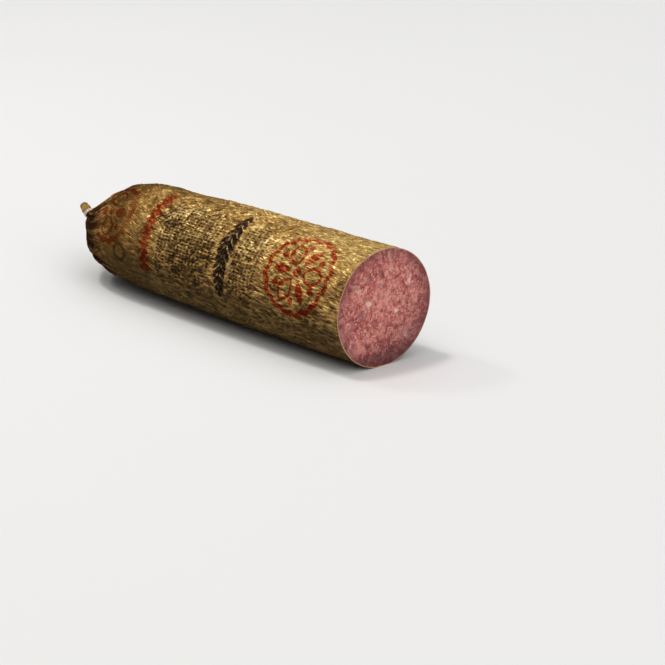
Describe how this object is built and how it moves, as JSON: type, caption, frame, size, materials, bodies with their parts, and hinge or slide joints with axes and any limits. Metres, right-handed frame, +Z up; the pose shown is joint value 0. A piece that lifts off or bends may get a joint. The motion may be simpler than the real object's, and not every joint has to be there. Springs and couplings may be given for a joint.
{
  "type": "cured sausage",
  "caption": "Cured sausage in a gold printed casing, cut flat at the front, with a pleated, tied rear end that finishes in a short stub; lies on its side.",
  "frame": {"origin": "middle of the bounding box's underside, on the surface that the sausage lies on", "axes": "+X along the sausage towards the cut face, -X towards the tied end, +Z up; the flat resting strip is underneath"},
  "size_m": [0.246, 0.0622, 0.061],
  "materials": {
    "meat": "fine-grained cured meat with pale fat specks, slightly moist",
    "casing": null,
    "string": "pale cotton string"
  },
  "bodies": {
    "root": {"meat": "meat", "casing": "casing", "tie_string": "string"}
  },
  "joints": []
}
